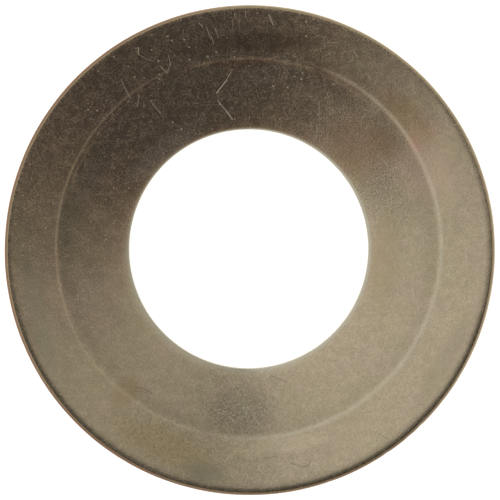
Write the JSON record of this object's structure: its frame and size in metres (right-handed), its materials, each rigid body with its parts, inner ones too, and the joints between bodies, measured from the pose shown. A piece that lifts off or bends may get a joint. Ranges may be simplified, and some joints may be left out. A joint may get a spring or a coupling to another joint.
{
  "type": "belleville washer",
  "caption": "Conical disc spring washer of stamped spring steel, hollow side up, with a large plain bore, tumbled edges and a shallow forming crease round its hollow face.",
  "frame": {"origin": "on the washer's axis, in the plane that the foot of the bore rests on", "axes": "+Z along the axis, up out of the hollow side; +X to the right and +Y to the top of the picture"},
  "size_m": [0.025, 0.025, 0.0016],
  "materials": {
    "spring_steel": "satin, tumbled bare spring steel with a faint warm oil tint"
  },
  "bodies": {
    "root": {"disc_spring": "spring_steel"}
  },
  "joints": []
}
